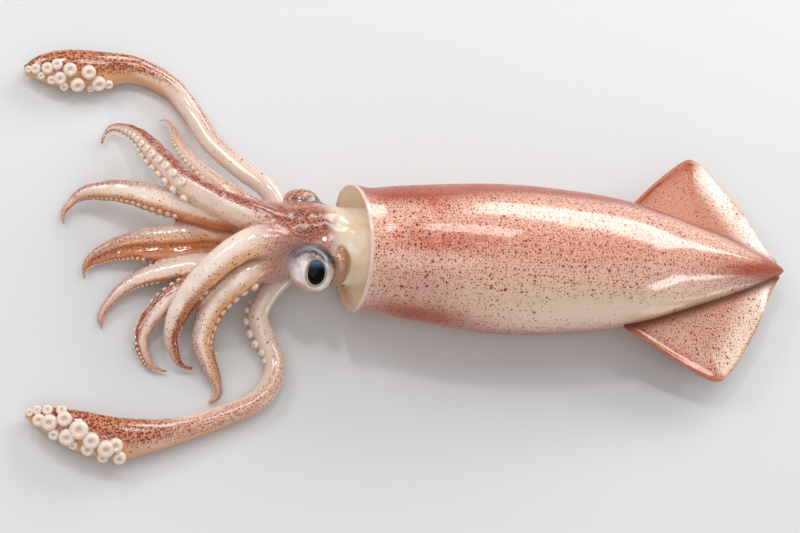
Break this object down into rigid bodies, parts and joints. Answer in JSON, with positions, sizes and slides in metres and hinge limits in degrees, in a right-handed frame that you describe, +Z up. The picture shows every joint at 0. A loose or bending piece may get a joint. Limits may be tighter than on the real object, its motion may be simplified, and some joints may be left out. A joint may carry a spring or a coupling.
{
  "type": "whole raw squid",
  "caption": "Whole raw squid lying on its belly, with a spotted mantle, side fins, eyes, curled arms and long tentacles that end in sucker clubs.",
  "frame": {"origin": "a point on the flat of the belly, midway along the mantle's wide part", "axes": "+X along the body towards the tail, +Y towards the squid's right side, +Z up through its back"},
  "size_m": [0.3296, 0.1752, 0.0565],
  "materials": {
    "mantle_skin": "moist pink-brown skin with red-brown spots",
    "fin_skin": "moist thin skin",
    "head_skin": "moist mauve-brown skin",
    "arm_skin": "moist cream skin",
    "tentacle_skin": "moist cream skin with pale suckers",
    "funnel_skin": "moist pale skin",
    "eyeball": "wet dark eye"
  },
  "bodies": {
    "root": {"mantle": "mantle_skin", "fin_left": "fin_skin", "fin_right": "fin_skin", "head": "head_skin", "eye_left": "eyeball", "eye_right": "eyeball", "funnel": "funnel_skin", "arm_left_1": "arm_skin", "arm_left_2": "arm_skin", "arm_left_3": "arm_skin", "arm_left_4": "arm_skin", "arm_right_1": "arm_skin", "arm_right_2": "arm_skin", "arm_right_3": "arm_skin", "arm_right_4": "arm_skin", "tentacle_left": "tentacle_skin", "tentacle_right": "tentacle_skin"}
  },
  "joints": []
}
